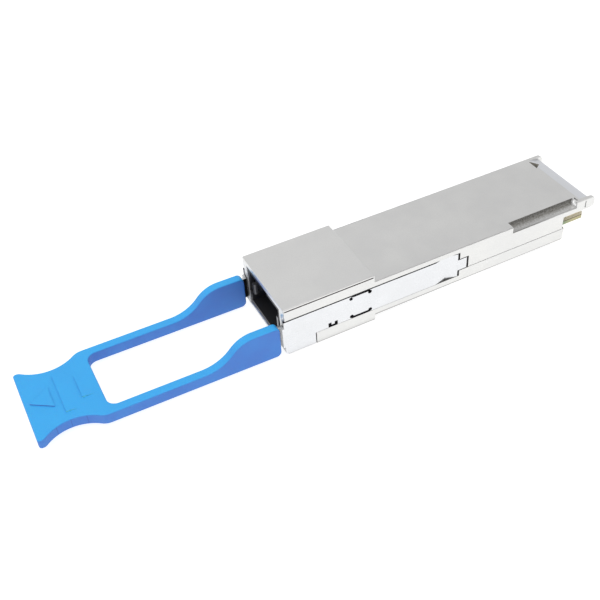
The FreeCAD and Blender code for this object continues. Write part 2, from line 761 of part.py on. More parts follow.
HOOK_Z = (f"{PORT_MIDDLE} - hook_height / 2", f"{PORT_MIDDLE} + hook_height / 2")
HOOK_Y = f"{PORT_END} + hook_root_depth"
HOOK_TIP = f"{NOSE} + hook_setback"


def make_mpo_receptacle():
    block = box("receptacle_block", across("insert_width"), (f"{NOSE} + mouth_depth", INSERT_END),
                ("insert_low", "insert_high"))
    front = f"{NOSE} + mouth_depth - {RIM}"
    roomy = (f"{HOOK_Z[0]} - 2 * fit_gap", f"{HOOK_Z[1]} + 2 * fit_gap")
    cuts = [
        box("port_room", across("port_width"), (front, PORT_END),
            (f"{PORT_MIDDLE} - port_height / 2", f"{PORT_MIDDLE} + port_height / 2")),
        box("port_key", across("port_key_width"), (front, PORT_END),
            (PORT_MIDDLE, f"{PORT_MIDDLE} + port_height / 2 + port_key_depth")),
        box("ferrule_room", across("ferrule_width + 4 * fit_gap"), (front, f"{INSERT_END} + {RIM}"),
            (f"{PORT_MIDDLE} - ferrule_height / 2 - 2 * fit_gap",
             f"{PORT_MIDDLE} + ferrule_height / 2 + 2 * fit_gap")),
        box("hook_room", across("port_width + 2 * hook_relief"), (front, PORT_END), roomy),
    ]
    for side, name in ((1, "right"), (-1, "left")):
        x = "hook_offset" if side > 0 else "-hook_offset"
        cuts.append(cylinder(f"hook_socket_{name}", "hook_barrel_radius + fit_gap",
                             less(roomy[1], roomy[0]), x, HOOK_Y, roomy[0]))
    return trimmed("mpo_receptacle", block, cuts)


def make_hook(side, name):
    """A springy latch arm with a barrel at its root and a catch at its tip."""
    body = doc.addObject("PartDesign::Body", name)
    sign = "" if side > 0 else "-"
    inner = "hook_offset - hook_thickness / 2"
    outer = "hook_offset + hook_thickness / 2"
    corners = [
        (inner, HOOK_Y),
        (inner, f"{HOOK_TIP} + hook_nub_length + hook_nub"),
        (f"{inner} - hook_nub", f"{HOOK_TIP} + hook_nub_length"),
        (f"{inner} - hook_nub", f"{HOOK_TIP} + hook_nub / 2"),
        (f"{inner} - hook_nub / 2", HOOK_TIP),
        (outer, HOOK_TIP),
        (outer, HOOK_Y),
    ]
    arm = outline(sketch_on(body, "XY_Plane", f"{name}_plan"), [(f"{sign}({x})", y) for x, y in corners])
    padded(body, arm, f"{name}_arm", "hook_height")
    barrel = sketch_on(body, "XY_Plane", f"{name}_barrel_plan")
    round_outline(barrel, f"{sign}hook_offset", HOOK_Y, "hook_barrel_radius")
    padded(body, barrel, f"{name}_barrel", "hook_height")
    body.setExpression("Placement.Base.z", linked(HOOK_Z[0]))
    return body


def make_emi_gasket():
    y = (INSERT_END, f"{INSERT_END} + gasket_thickness")
    ring = box("gasket_block", across("insert_width"), y, ("insert_low", "insert_high"))
    window = box("gasket_window", across("gasket_window_width"),
                 (f"{y[0]} - {RIM}", f"{y[1]} + {RIM}"),
                 (f"{PORT_MIDDLE} - gasket_window_height / 2", f"{PORT_MIDDLE} + gasket_window_height / 2"))
    return trimmed("emi_gasket", ring, [window])


def pin_places():
    return (("left", "-pin_offset"), ("right", "pin_offset"))


def make_mt_ferrule():
    z = (f"{PORT_MIDDLE} - ferrule_height / 2", f"{PORT_MIDDLE} + ferrule_height / 2")
    block = joined("ferrule_blank", [
        box("ferrule_block", across("ferrule_width"), (FERRULE_TIP, FERRULE_END), z),
        box("ferrule_flange_block", across("ferrule_width + ferrule_flange"),
            (f"{FERRULE_END} - ferrule_flange_length", FERRULE_END),
            (f"{z[0]} - ferrule_flange / 2", f"{z[1]} + ferrule_flange / 2")),
    ])
    bores = [
        cylinder(f"ferrule_bore_{name}", "pin_radius", f"ferrule_length + 2 * {RIM}", x,
                 f"{FERRULE_TIP} - {RIM}", PORT_MIDDLE, "y")
        for name, x in pin_places()
    ]
    slot = box("ferrule_slot", across("ribbon_width + 2 * fit_gap"),
               (f"{FERRULE_END} - ribbon_depth", f"{FERRULE_END} + {RIM}"),
               (f"{PORT_MIDDLE} - ribbon_thickness / 2 - ribbon_gap",
                f"{PORT_MIDDLE} + ribbon_thickness / 2 + ribbon_gap"))
    return trimmed("mt_ferrule", block, [*bores, slot])


def make_guide_pins():
    return grouped("guide_pins", [
        cylinder(f"guide_pin_{name}", "pin_radius", "ferrule_length + pin_reach", x,
                 f"{FERRULE_TIP} - pin_reach", PORT_MIDDLE, "y")
        for name, x in pin_places()
    ])


def make_ferrule_clip():
    y = (FERRULE_END, f"{FERRULE_END} + clip_thickness")
    plate = box("clip_plate", across("clip_width"), y, ("floor_thickness", "clip_top"))
    slot = box("clip_slot", across("ribbon_width + clip_gap"), (f"{y[0]} - {RIM}", f"{y[1]} + {RIM}"),
               (f"{PORT_MIDDLE} - clip_gap", f"clip_top + {RIM}"))
    return trimmed("ferrule_clip", plate, [slot])


def make_fibre_ribbon():
    return box("fibre_ribbon", across("ribbon_width"), (f"{FERRULE_END} - ribbon_depth", LENS_FRONT),
               (f"{PORT_MIDDLE} - ribbon_thickness / 2", f"{PORT_MIDDLE} + ribbon_thickness / 2"))


# ---- the board and what is on it ----

def make_circuit_board():
    z = ("seam_height", BOARD_TOP)
    front = "board_front_width / 2"
    card = "card_width / 2"
    right = [
        (front, BOARD_FRONT),
        (front, "board_widening"),
        (card, "board_widening + board_step"),
        (card, "card_end - card_corner"),
        (f"{card} - card_corner", "card_end"),
    ]
    left = [(f"-({x})", y) for x, y in reversed(right)]
    blank = prism("board_blank", "XY_Plane", right + left, *z)
    holes = [
        cylinder(f"board_hole_{row}", "screw_radius + screw_clearance", f"board_thickness + 2 * {RIM}", x, y,
                 f"seam_height - {RIM}")
        for row, x, y in screw_places()
    ]
    return trimmed("circuit_board", blank, holes)


def make_contact_pads(name, low, high):
    pads = []
    count = int(size("pad_count"))
    for number in range(count):
        middle = f"{number - (count - 1) / 2} * pad_pitch"
        pads.append(box(f"{name}_{number + 1}", (f"{middle} - pad_width / 2", f"{middle} + pad_width / 2"),
                        ("card_end - pad_inset - pad_length", "card_end - pad_inset"), (low, high)))
    return grouped(name, pads)


def chip(name, x, y, width, length, height, base=BOARD_TOP):
    """A square-edged package that stands on a surface, centred at a point."""
    return box(name, (f"{x} - ({width}) / 2", f"{x} + ({width}) / 2"),
               (f"{y} - ({length}) / 2", f"{y} + ({length}) / 2"), (base, f"{base} + {height}"))


CARRIER_FRONT = f"{LENS_FRONT} + lens_length + carrier_gap"
CARRIER_TOP = f"{BOARD_TOP} + carrier_height"


def driver_range():
    start = f"{CARRIER_FRONT} + carrier_length + driver_room"
    return start, f"{start} + driver_size"


def make_lens_block():
    return box("lens_block", across("lens_width"), (LENS_FRONT, f"{LENS_FRONT} + lens_length"),
               (BOARD_TOP, f"{BOARD_TOP} + lens_height"))


def make_optical_carrier():
    return box("optical_carrier", across("carrier_width"), (CARRIER_FRONT, f"{CARRIER_FRONT} + carrier_length"),
               (BOARD_TOP, CARRIER_TOP))


def make_array(name, sign):
    y = f"{CARRIER_FRONT} + array_length"
    return chip(name, f"{sign}array_offset", y, "array_width", "array_length", "array_height", CARRIER_TOP)


def make_driver(name, sign):
    low, high = driver_range()
    middle = f"{low} + driver_size / 2"
    return chip(name, f"{sign}(driver_size + driver_gap) / 2", middle, "driver_size", "driver_size", "driver_height")


def make_passives():
    parts = []
    for side, name in ((1, "right"), (-1, "left")):
        for number in range(int(size("capacitor_count"))):
            x = f"{side} * capacitor_row_x"
            y = f"capacitor_row_y + {number} * capacitor_pitch"
            parts.append(chip(f"capacitor_{name}_{number + 1}", x, y, "capacitor_length", "capacitor_width",
                              "capacitor_height"))
    return grouped("capacitors", parts)


def make_inductors():
    return grouped("power_inductors", [
        chip(f"inductor_{name}", f"{sign}inductor_offset", "inductor_y", "inductor_size", "inductor_size",
             "inductor_height")
        for name, sign in (("left", "-"), ("right", ""))
    ])


def make_thermal_pads():
    low, high = driver_range()
    front = box("driver_thermal_pad", across("2 * driver_size + driver_gap"), (low, high),
                (f"{BOARD_TOP} + driver_height", f"{BOARD_TOP} + driver_height + pad_sheet"))
    rear = chip("signal_thermal_pad", "0", "signal_chip_y", "signal_chip_size", "signal_chip_size", "pad_sheet",
                f"{BOARD_TOP} + signal_chip_height")
    return [front, rear]


# ---- the pull tab ----

# half the length of the grip's waist, and its middle, so that the waist just runs out at the free end
GRIP_REACH = "sqrt(2 * grip_radius * grip_depth - grip_depth * grip_depth)"
GRIP_MIDDLE = f"-tab_length + grip_flat + {GRIP_REACH}"


# the largest round that the ramp's length leaves for the bend at its head, with the wider bend at its foot
RAMP_RISE = "(tab_arm_height - tab_thickness)"
RAMP_SLOPE = f"sqrt(tab_ramp * tab_ramp + {RAMP_RISE} * {RAMP_RISE})"
RAMP_ROOM = f"0.98 * {RAMP_SLOPE} * {RAMP_RISE} / ((1 + tab_foot_share) * ({RAMP_SLOPE} - tab_ramp))"


def make_pull_tab():
    """A flat grip with two arms, moulded on the slider's tangs and tilted up slightly to its free end."""
    body = doc.addObject("PartDesign::Body", "tab_moulding")
    side = outline(sketch_on(body, "YZ_Plane", "tab_side"), [
        ("0", "0"),
        ("0", "tab_arm_height"),
        ("-tab_arm_tall", "tab_arm_height"),
        ("-tab_arm_tall - tab_ramp", "tab_thickness"),
        ("-tab_length", "tab_thickness"),
        ("-tab_length", "tab_end_rise"),
        ("-tab_length + tab_grip_length - tab_window_round", "0"),
    ])
    padded(body, side, "tab_slab", "tab_width", both_ways=True)
    arm_top, thickness = size("tab_arm_height"), size("tab_thickness")
    tall, ramp = size("tab_arm_tall"), size("tab_ramp")
    along_x, along_z = FreeCAD.Vector(1, 0, 0), FreeCAD.Vector(0, 0, 1)
    bend = f"min(tab_ramp_round; {RAMP_ROOM})"
    rounded(body, "tab_ramp_fillet", bend, along_x, lambda p: near(p.y, -tall) and near(p.z, arm_top))
    rounded(body, "tab_foot_fillet", f"{bend} * tab_foot_share", along_x, lambda p: (
        near(p.y, -tall - ramp) and near(p.z, thickness)))
    rounded(body, "tab_end_fillet", "tab_end_round", along_x, lambda p: (
        near(p.y, 0) and (near(p.z, arm_top) or near(p.z, 0))))
    window = outline(sketch_on(body, "XY_Plane", "tab_window_plan"), [
        ("-tab_width / 2 + tab_arm_width", "-tab_length + tab_grip_length"),
        ("tab_width / 2 - tab_arm_width", "-tab_length + tab_grip_length"),
        ("tab_width / 2 - tab_arm_width", f"{RIM}"),
        ("-tab_width / 2 + tab_arm_width", f"{RIM}"),
    ])
    pocket_through(body, window, "tab_window")
    grips = sketch_on(body, "XY_Plane", "tab_grip_plan")
    for sign in ("", "-"):
        round_outline(grips, f"{sign}(tab_width / 2 - grip_depth + grip_radius)", GRIP_MIDDLE, "grip_radius")
    pocket_through(body, grips, "tab_grips")
    half = size("tab_width") / 2
    opening = half - size("tab_arm_width")
    window_end = size("tab_grip_length") - size("tab_length")
    reach = math.sqrt(2 * size("grip_radius") * size("grip_depth") - size("grip_depth") ** 2)
    blend_y = -size("tab_length") + size("grip_flat") + 2 * reach
    rounded(body, "tab_window_fillet", "tab_window_round", along_z, lambda p: (
        near(abs(p.x), opening) and near(p.y, window_end)))
    rounded(body, "tab_blend_fillet", "grip_blend", along_z, lambda p: (
        near(abs(p.x), half) and near(p.y, blend_y, 1e-3)))
    rounded(body, "tab_run_out_fillet", "min(grip_run_out; grip_flat)", along_z, lambda p: (
        near(abs(p.x), half) and near(p.y, size("grip_flat") - size("tab_length"), 1e-3)))
    rounded(body, "tab_corner_fillet", "min(tab_corner_round; grip_flat / 2)", along_z, lambda p: (
        near(p.y, -size("tab_length")) and abs(p.x) > opening / 2))
    marks = sketch_on(body, "XY_Plane", "tab_marks_plan", "tab_thickness")
    outline(marks, [
        ("0", "-tab_length + arrow_margin"),
        ("arrow_width / 2", "-tab_length + arrow_margin + arrow_length"),
        ("-arrow_width / 2", "-tab_length + arrow_margin + arrow_length"),
    ])
    padded(body, marks, "tab_arrow", "mark_rise")
    for width, at in (("long_bar", "long_bar_margin"), ("short_bar", "short_bar_margin")):
        step = outline(sketch_on(body, "YZ_Plane", f"tab_{width}_side"), [
            (f"-tab_length + {at}", "tab_thickness - mark_rise"),
            (f"-tab_length + {at}", "tab_thickness + mark_rise"),
            (f"-tab_length + {at} + bar_width", "tab_thickness"),
            (f"-tab_length + {at} + bar_width", "tab_thickness - mark_rise"),
        ])
        padded(body, step, f"tab_{width}", width, both_ways=True)
    body.Placement = FreeCAD.Placement(
        FreeCAD.Vector(), FreeCAD.Rotation(FreeCAD.Vector(1, 0, 0), -size("tab_tilt")))
    place(body, None, f"{NOSE} - tab_gap", "-tab_drop")
    slots = []
    for side_sign, name in ((1, "tab_slot_right"), (-1, "tab_slot_left")):
        slots += tang_blocks(side_sign, name)
    return trimmed("pull_tab", body, slots)


NODES = [
    make_top_cover(),
    make_bottom_housing(),
    make_nose_plate(),
    make_latch_slider(),
    make_pull_tab(),
    make_spring(1, "return_spring_right"),
    make_spring(-1, "return_spring_left"),
    make_mpo_receptacle(),
    make_hook(1, "mpo_hook_right"),
    make_hook(-1, "mpo_hook_left"),
    make_emi_gasket(),
    make_mt_ferrule(),
    make_guide_pins(),
    make_ferrule_clip(),
    make_fibre_ribbon(),
    make_lens_block(),
    make_optical_carrier(),
    make_array("laser_array", "-"),
    make_array("photodiode_array", ""),
    make_driver("laser_driver", "-"),
    make_driver("receiver_amplifier", ""),
    chip("signal_chip", "0", "signal_chip_y", "signal_chip_size", "signal_chip_size", "signal_chip_height"),
    chip("microcontroller", "0", "controller_y", "controller_size", "controller_size", "controller_height"),
    make_passives(),
    make_inductors(),
    *make_thermal_pads(),
    make_circuit_board(),
    make_contact_pads("contact_pads_top", BOARD_TOP, f"{BOARD_TOP} + pad_thickness"),
    make_contact_pads("contact_pads_bottom", "seam_height - pad_thickness", "seam_height"),
    make_housing_screws(),
    make_blank_label(),
]

doc.recompute()
for item in doc.Objects:
    if "Invalid" in item.State or "Error" in item.State:
        raise RuntimeError(f"{item.Label} failed: {item.State}")
os.makedirs("parts", exist_ok=True)
for node in NODES:
    shape = node.Shape
    if shape.isNull() or not shape.isValid() or not shape.Solids:
        raise RuntimeError(f"{node.Label} has no valid solid")
    shape.exportStep(f"parts/{node.Label}.step")
    print(f"{node.Label}: {len(shape.Solids)} solid(s), {shape.Volume:.2f} mm3")
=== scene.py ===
"""Looks of an optical transceiver module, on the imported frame."""
import json
import math

import bmesh
import bpy
from mathutils import Euler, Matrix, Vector


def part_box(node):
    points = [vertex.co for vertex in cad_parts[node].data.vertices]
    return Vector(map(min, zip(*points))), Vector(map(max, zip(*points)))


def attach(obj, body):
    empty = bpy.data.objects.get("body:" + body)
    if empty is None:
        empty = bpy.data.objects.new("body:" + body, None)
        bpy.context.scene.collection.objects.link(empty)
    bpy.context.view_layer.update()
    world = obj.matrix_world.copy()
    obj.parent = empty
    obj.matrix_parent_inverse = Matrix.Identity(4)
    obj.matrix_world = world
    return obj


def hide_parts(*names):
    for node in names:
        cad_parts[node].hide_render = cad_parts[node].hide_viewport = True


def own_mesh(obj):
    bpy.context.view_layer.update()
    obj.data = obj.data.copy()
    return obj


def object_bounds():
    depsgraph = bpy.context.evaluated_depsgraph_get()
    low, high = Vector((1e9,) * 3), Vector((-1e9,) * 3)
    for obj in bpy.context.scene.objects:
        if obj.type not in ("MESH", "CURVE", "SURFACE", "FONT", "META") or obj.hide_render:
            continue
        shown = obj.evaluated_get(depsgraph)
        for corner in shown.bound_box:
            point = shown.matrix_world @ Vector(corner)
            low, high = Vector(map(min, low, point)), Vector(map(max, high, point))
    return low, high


MM = 0.001

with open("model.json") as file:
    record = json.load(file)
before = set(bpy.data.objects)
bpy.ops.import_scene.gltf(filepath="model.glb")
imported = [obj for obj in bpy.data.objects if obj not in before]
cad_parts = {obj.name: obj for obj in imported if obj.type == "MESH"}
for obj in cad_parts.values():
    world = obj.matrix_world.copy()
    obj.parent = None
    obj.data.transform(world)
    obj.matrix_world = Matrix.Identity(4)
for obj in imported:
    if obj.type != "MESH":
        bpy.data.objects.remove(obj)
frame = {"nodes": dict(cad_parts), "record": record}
cad_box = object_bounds()
nodes = frame["nodes"]
record = frame["record"]
SLOTS = {part["node"]: part["material_slot"] for part in record["subparts"]}
scene = bpy.context.scene


def mm(*values):
    return tuple(v * MM for v in values)


def faded(colour, share):
    return tuple(c * share for c in colour)


# ---- places and tones ----

# Zones of the pieces, in millimetres; for x, the distance out to either side of the middle.
ZONES = {
    "roof_bevel": {"y": (49.3, 52.0), "z": (7.6, 8.6)},
    "key_rabbet": {"x": (7.25, 9.12), "y": (32.1, 48.28), "z": (7.0, 8.46)},
    "pocket_walls": {"x": (4.8, 8.1), "y": (48.7, 50.6), "z": (7.3, 8.45)},
    "pocket_floor": {"x": (4.8, 8.1), "y": (48.7, 50.6), "z": (7.3, 8.2)},
    "plate_groove": {"x": (8.6, 9.16), "y": (-19.3, -0.1), "z": (9.5, 9.805)},
    "body_foot": {"y": (0.1, 46.0), "z": (-0.1, 0.34)},
    "nose_foot": {"y": (-13.5, 0.0), "z": (-1.5, -1.06)},
    "behind_tongue": {"x": (7.4, 9.15), "y": (13.0, 21.72), "z": (1.35, 7.5)},
    "behind_arm": {"x": (7.4, 8.66), "y": (-19.2, 12.5), "z": (1.35, 7.45)},
    "rear_ledge": {"x": (8.6, 9.12), "y": (-5.6, -0.6), "z": (1.3, 1.53)},
    "front_ledge": {"x": (8.6, 9.12), "y": (-10.3, -8.2), "z": (1.3, 1.53)},
    "arm_top": {"y": (-19.6, 14.0), "z": (7.12, 7.25)},
    "inside_neck": {"y": (-40.0, -19.52), "z": (-2.0, 5.7)},
    "grip_marks": {"x": (-1.0, 5.4), "y": (-67.2, -55.0)},
}

TONES = {
    # painted shade in gaps
    "gap": (0.022, 0.019, 0.018),
    # painted shade in the slots and on the ledges seen through them
    "slot": (0.016, 0.014, 0.018),
    # painted shade in the recess behind the tongue
    "behind_tongue": (0.05, 0.048, 0.045),
    # painted shade on the slider's inner faces before the neck
    "inside_neck": (0.02, 0.018, 0.017),
    # painted shade in the plate's groove
    "plate_groove": (0.045, 0.022, 0.02),
    # painted shade along the lower edges of the sides
    "foot": (0.48, 0.48, 0.47),
    # painted highlight on the rear roof bevel
    "roof_bevel": (0.80, 0.815, 0.84),
    # painted shade in the rabbet, from its darkest to its lightest
    "rabbet_low": (0.16, 0.15, 0.125),
    "rabbet_high": (0.66, 0.66, 0.65),
    # painted shade in the far pocket
    "pocket_low": (0.14, 0.13, 0.105),
    "pocket_high": (0.30, 0.29, 0.26),
    # painted highlight along the nickel's edges
    "edge_highlight_nickel": (0.9, 0.9, 0.9),
    # painted light: the tab paler where it faces up, darker on its sides
    "tab_side": (0.05, 0.185, 0.60),
    "tab_top_lit": (0.042, 0.45, 0.95),
    "tab_cloud": (0.04, 0.34, 0.82),
    # painted shade lines on the grip's upright faces
    "tab_line": (0.03, 0.10, 0.40),
    # painted highlight along the tab's edges
    "tab_edge_highlight": (0.25, 0.55, 0.95),
    # painted light on the ends of the grip marks, painted shade on their fronts
    "mark_end_lit": (0.10, 0.80, 1.0),
    "mark_front_shaded": (0.01, 0.11, 0.75),
    "laminate_dark": (0.42, 0.40, 0.20),
    "laminate_light": (0.60, 0.55, 0.33),
    "laminate_green": (0.20, 0.34, 0.20),
    "board_rim": (0.10, 0.055, 0.03),
    "mask_dark": (0.012, 0.16, 0.10),
    "mask_light": (0.02, 0.22, 0.13),
    "board_bare": (0.98, 0.90, 0.66),
}

# Spans of a noise's value, which a ramp stretches to its full range.
MIDDLE = (0.35, 0.65)
WIDE = (0.3, 0.7)


# ---- node graphs ----

class Graph:
    """A material's node tree, with short calls for what the finishes below need."""

    SOCKETS = {
        "color": "Base Color",
        "metallic": "Metallic",
        "roughness": "Roughness",
        "normal": "Normal",
        "specular": "Specular IOR Level",
        "coat": "Coat Weight",
        "subsurface": "Subsurface Weight",
        "subsurface_scale": "Subsurface Scale",
    }

    def __init__(self, name):
        self.material = bpy.data.materials.new(name)
        self.material.use_nodes = True
        self.tree = self.material.node_tree
        self.tree.nodes.clear()
        self.out = self.add("ShaderNodeOutputMaterial")
        self.shader = self.add("ShaderNodeBsdfPrincipled")
        self.link(self.shader.outputs["BSDF"], self.out.inputs["Surface"])
        self.place = self.add("ShaderNodeTexCoord").outputs["Object"]
        self.geometry = self.add("ShaderNodeNewGeometry")

    def add(self, kind, **values):
        node = self.tree.nodes.new(kind)
        for name, value in values.items():
            setattr(node, name, value)
        return node

    def link(self, source, target):
        self.tree.links.new(source, target)

    def put(self, target, value):
        """A constant or another node's output into a socket."""
        if isinstance(value, bpy.types.NodeSocket):
            self.link(value, target)
        else:
            target.default_value = value

    def set(self, **values):
        """Constants or outputs into the shader's sockets, by the short names in SOCKETS."""
        for name, value in values.items():
            if isinstance(value, tuple):
                value = (*value, 1)
            self.put(self.shader.inputs[self.SOCKETS[name]], value)

    def stretched(self, scale):
        """The point's place, scaled along each axis."""
        node = self.add("ShaderNodeMapping")
        self.put(node.inputs["Vector"], self.place)
        node.inputs["Scale"].default_value = scale
        return node.outputs["Vector"]

    def noise(self, grain, detail=3, rough=0.55, where=None):
        """Noise whose features are about grain millimetres across."""
        node = self.add("ShaderNodeTexNoise")
        self.put(node.inputs["Vector"], where or self.place)
        node.inputs["Scale"].default_value = 1 / (grain * MM)
        node.inputs["Detail"].default_value = detail
        node.inputs["Roughness"].default_value = rough
        return node.outputs["Fac"]

    def cells(self, grain):
        """Distance to the nearest cell's middle, with cells about grain millimetres across."""
        node = self.add("ShaderNodeTexVoronoi")
        self.put(node.inputs["Vector"], self.place)
        node.inputs["Scale"].default_value = 1 / (grain * MM)
        return node.outputs["Distance"]

    def ramp(self, value, low, high, start=0.0, end=1.0):
        """From start to end as the value goes from low to high."""
        node = self.add("ShaderNodeMapRange")
        self.put(node.inputs["Value"], value)
        node.inputs["From Min"].default_value = low
        node.inputs["From Max"].default_value = high
        node.inputs["To Min"].default_value = start
        node.inputs["To Max"].default_value = end
        return node.outputs["Result"]

    def math(self, operation, first, second=0.0, third=0.0):
        node = self.add("ShaderNodeMath", operation=operation)
        for socket, value in zip(node.inputs, (first, second, third)):
            self.put(socket, value)
        return node.outputs[0]

    def times(self, first, second):
        """A product, which for two masks is where both hold."""
        return self.math("MULTIPLY", first, second)

    def either(self, first, second):
        """Where one mask or the other holds."""
        return self.math("MAXIMUM", first, second)

    def over(self, value, limit):
        return self.math("GREATER_THAN", value, limit)

    def under(self, value, limit):
        return self.math("LESS_THAN", value, limit)

    def mix(self, factor, first, second, blend="MIX"):
        node = self.add("ShaderNodeMix", data_type="RGBA", blend_type=blend)
        self.put(node.inputs["Factor"], factor)
        for socket, value in ((node.inputs[6], first), (node.inputs[7], second)):
            self.put(socket, (*value, 1) if isinstance(value, tuple) else value)
        return node.outputs[2]

    def bump(self, height, depth, strength=1.0, normal=None):
        """Relief of a height field, depth in millimetres."""
        node = self.add("ShaderNodeBump")
        node.inputs["Strength"].default_value = strength
        node.inputs["Distance"].default_value = depth * MM
        self.put(node.inputs["Height"], height)
        if normal is not None:
            self.put(node.inputs["Normal"], normal)
        return node.outputs["Normal"]

    def soft_edges(self, radius):
        """Normals that turn the edges as if they were rounded by radius millimetres."""
        node = self.add("ShaderNodeBevel", samples=6)
        node.inputs["Radius"].default_value = radius * MM
        return node.outputs["Normal"]

    def edge_mask(self, radius, low=0.02, high=0.25):
        """One along the edges, nought on flat ground."""
        bent = self.soft_edges(radius)
        dot = self.add("ShaderNodeVectorMath", operation="DOT_PRODUCT")
        self.put(dot.inputs[0], bent)
        self.put(dot.inputs[1], self.geometry.outputs["True Normal"])
        away = self.math("SUBTRACT", 1.0, dot.outputs["Value"])
        return self.ramp(away, low, high)

    def component(self, vector, axis):
        node = self.add("ShaderNodeSeparateXYZ")
        self.put(node.inputs[0], vector)
        return node.outputs[axis]

    def facing(self, axis):
        """A face's own direction along an axis, from -1 to 1."""
        return self.component(self.geometry.outputs["True Normal"], axis)

    def at(self, axis):
        """The point's place along an axis, in metres."""
        return self.component(self.place, axis)

    def zone(self, name):
        """One inside a zone of ZONES, nought outside."""
        mask = 1.0
        for axis, (low, high) in ZONES[name].items():
            place = self.at(axis.upper())
            if axis == "x":
                place = self.math("ABSOLUTE", place)
            mask = self.times(mask, self.over(place, low * MM))
            mask = self.times(mask, self.under(place, high * MM))
        return mask

    def openness(self, reach):
        """One where nothing stands within reach millimetres, nought deep in a gap."""
        node = self.add("ShaderNodeAmbientOcclusion", samples=8)
        node.inputs["Distance"].default_value = reach * MM
        return node.outputs["AO"]

    def with_painted_shade(self, colour, least=0.5, seam=0.8, broad=2.6):
        """A colour with painted shade: darker in recesses, down to the share least, and dark in
        gaps.

        The gaps are found within seam millimetres and the recesses within broad.
        """
        recess_shade = self.ramp(self.openness(broad), 0.30, 0.72, least, 1.0)
        recess_shaded = self.mix(1.0, colour, recess_shade, blend="MULTIPLY")
        return self.mix(self.ramp(self.openness(seam), 0.26, 0.52), TONES["gap"], recess_shaded)


# ---- finishes ----

CAST_GRAIN = 0.11              # millimetres, like the places below
RABBET_GRAIN = 0.35
RABBET_PALER_X = (7.25, 8.7)   # its floor's painted shade gets paler between these, going out


def cast_places(g, tone):
    """Painted light in single places of the castings: a painted highlight on the rear roof bevel
    and painted shade in the rabbet, the pocket, the groove, along the feet, behind the tongue and
    in the slots.
    """
    # painted highlight on the rear roof bevel, where it faces back
    bevel = g.times(g.zone("roof_bevel"), g.ramp(g.facing("Y"), 0.1, 0.2))
    tone = g.mix(bevel, tone, TONES["roof_bevel"])

    # painted shade in the rabbet on the right side: speckled, and paler towards its outer edge
    shade_speckle = g.noise(RABBET_GRAIN, 4, 0.75)
    outer = g.ramp(g.at("X"), *mm(*RABBET_PALER_X), 0.0, 0.75)
    lightness = g.ramp(g.math("ADD", shade_speckle, g.times(outer, 0.6)), 0.35, 0.95)
    right = g.over(g.at("X"), 0.0)
    tone = g.mix(g.times(right, g.zone("key_rabbet")), tone,
                 g.mix(lightness, TONES["rabbet_low"], TONES["rabbet_high"]))

    # painted shade on the walls and floor of the pocket on the left side
    walls = g.times(g.under(g.facing("Z"), 0.5), g.zone("pocket_walls"))
    left = g.math("SUBTRACT", 1.0, right)
    pocket = g.times(left, g.either(walls, g.zone("pocket_floor")))
    tone = g.mix(pocket, tone,
                 g.mix(g.ramp(shade_speckle, *WIDE), TONES["pocket_low"], TONES["pocket_high"]))

    # painted shade in the plate's groove
    tone = g.mix(g.zone("plate_groove"), tone, TONES["plate_groove"])

    # painted shade in a band along the lower edges of the sides
    foot = g.either(g.zone("body_foot"), g.zone("nose_foot"))
    sideways = g.over(g.math("ABSOLUTE", g.facing("X")), 0.3)
    tone = g.mix(g.times(foot, sideways), tone, TONES["foot"])

    # painted shade in the recess behind the tongue
    tone = g.mix(g.times(g.zone("behind_tongue"), 0.85), tone, TONES["behind_tongue"])
    # painted shade in the slots, and on the ledges seen through them
    slots = g.zone("behind_arm")
    for ledge in ("rear_ledge", "front_ledge"):
        slots = g.either(slots, g.zone(ledge))
    return g.mix(slots, tone, TONES["slot"])


def slider_places(g, tone):
    """Painted shade on the slider's inner faces before the neck, along the top of its arms and
    behind them.
    """
    # painted shade on the inner faces before the neck
    inner = g.under(g.times(g.at("X"), g.facing("X")), 0.0)
    tone = g.mix(g.times(inner, g.zone("inside_neck")), tone, TONES["inside_neck"])
    # painted shade along the top of the arms and behind them
    return g.mix(g.either(g.zone("arm_top"), g.zone("behind_arm")), tone, TONES["slot"])


def plated(name, colour, dark, roughness=0.40, edge=0.12):
    """Satin nickel over a die casting: cast grain, faint clouds, painted highlights along the edges
    and painted shade in recesses.
    """
    g = Graph(name)
    clouds = g.noise(6.0, 4)
    fine = g.noise(CAST_GRAIN, 4, 0.7)
    specks = g.noise(CAST_GRAIN * 2.2, 2, 0.5)
    tone = g.mix(g.ramp(clouds, *MIDDLE), dark, colour)
    tone = g.mix(g.ramp(fine, 0.35, 0.75, 0.0, 0.45), tone, faded(colour, 0.84))
    tone = g.mix(g.ramp(specks, 0.55, 0.8, 0.0, 0.35), tone, faded(colour, 0.80))
    # painted highlight along the edges
    tone = g.mix(g.times(g.edge_mask(edge), 0.6), tone, TONES["edge_highlight_nickel"])
    # painted shade in recesses and gaps, then the painted light of single places
    g.set(color=cast_places(g, g.with_painted_shade(tone)),
          metallic=1.0,
          roughness=g.math("ADD", g.ramp(fine, *WIDE, roughness - 0.05, roughness + 0.06),
                           g.ramp(clouds, *WIDE, -0.03, 0.03)),
          normal=g.bump(fine, 0.004, 0.6, g.soft_edges(edge)))
    return g.material


def rolled(name, colour, roughness, along=(1, 0.03, 1), places=None):
    """Sheet or drawn metal, with fine lines along the way it was worked."""
    g = Graph(name)
    lines = g.noise(0.06, 3, 0.6, g.stretched(along))
    clouds = g.noise(5.0)
    tone = g.mix(g.ramp(clouds, *MIDDLE), faded(colour, 0.96), colour)
    # painted shade in recesses and gaps
    tone = g.with_painted_shade(tone, least=0.75)
    if places is not None:
        tone = places(g, tone)
    g.set(color=tone,
          metallic=1.0,
          roughness=g.ramp(lines, *WIDE, roughness - 0.05, roughness + 0.07),
          normal=g.bump(lines, 0.0015, 0.35, g.soft_edges(0.06)))
    return g.material


